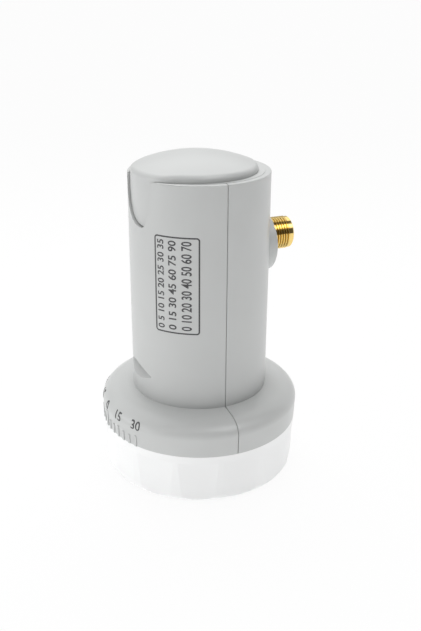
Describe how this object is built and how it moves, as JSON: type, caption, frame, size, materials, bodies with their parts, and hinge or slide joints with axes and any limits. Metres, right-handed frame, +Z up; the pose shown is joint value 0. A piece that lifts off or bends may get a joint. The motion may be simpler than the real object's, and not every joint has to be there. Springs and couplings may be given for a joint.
{
  "type": "satellite lnb",
  "caption": "Satellite dish LNB: grey split neck with ring and skew scale, domed end cap, white feed cap, gold threaded output port, and the horn, waveguide and board inside.",
  "frame": {"origin": "centre of the feed cap's flat face, on which the object stands", "axes": "+Z up the neck's axis towards the end cap, +X along the output port"},
  "size_m": [0.0589, 0.0588, 0.0952],
  "materials": {
    "grey_plastic": "light grey moulded plastic with a fine satin grain",
    "white_plastic": "white moulded plastic, smooth",
    "gold_plate": "gold plated brass, bright",
    "casting": "die-cast metal, bare",
    "cover_metal": "die-cast cover, bare",
    "steel": "zinc plated steel",
    "brass": "plain brass",
    "board": "glass fibre board, green",
    "chip": "black moulded package",
    "puck": "sintered ceramic",
    "insulator": "white insulating polymer",
    "rubber": "black rubber"
  },
  "bodies": {
    "root": {"scale_half_shell": "grey_plastic", "port_half_shell": "grey_plastic", "end_cap": "grey_plastic", "feed_cap": "white_plastic", "feed_cap_seal": "rubber", "horn_casting": "casting", "circuit_board": "board", "shield_cover": "cover_metal", "cover_screws": "steel", "tuning_screws": "brass", "straight_probe": "brass", "bent_probe": "brass", "probe_sleeves": "insulator", "isolator_pin": "steel", "low_band_resonator": "puck", "high_band_resonator": "puck", "front_transistors": "chip", "mixer_chip": "chip", "amplifier_chip": "chip", "regulator": "chip", "port_body": "gold_plate", "port_insulator": "insulator", "port_contact": "gold_plate", "port_gasket": "rubber"}
  },
  "joints": []
}
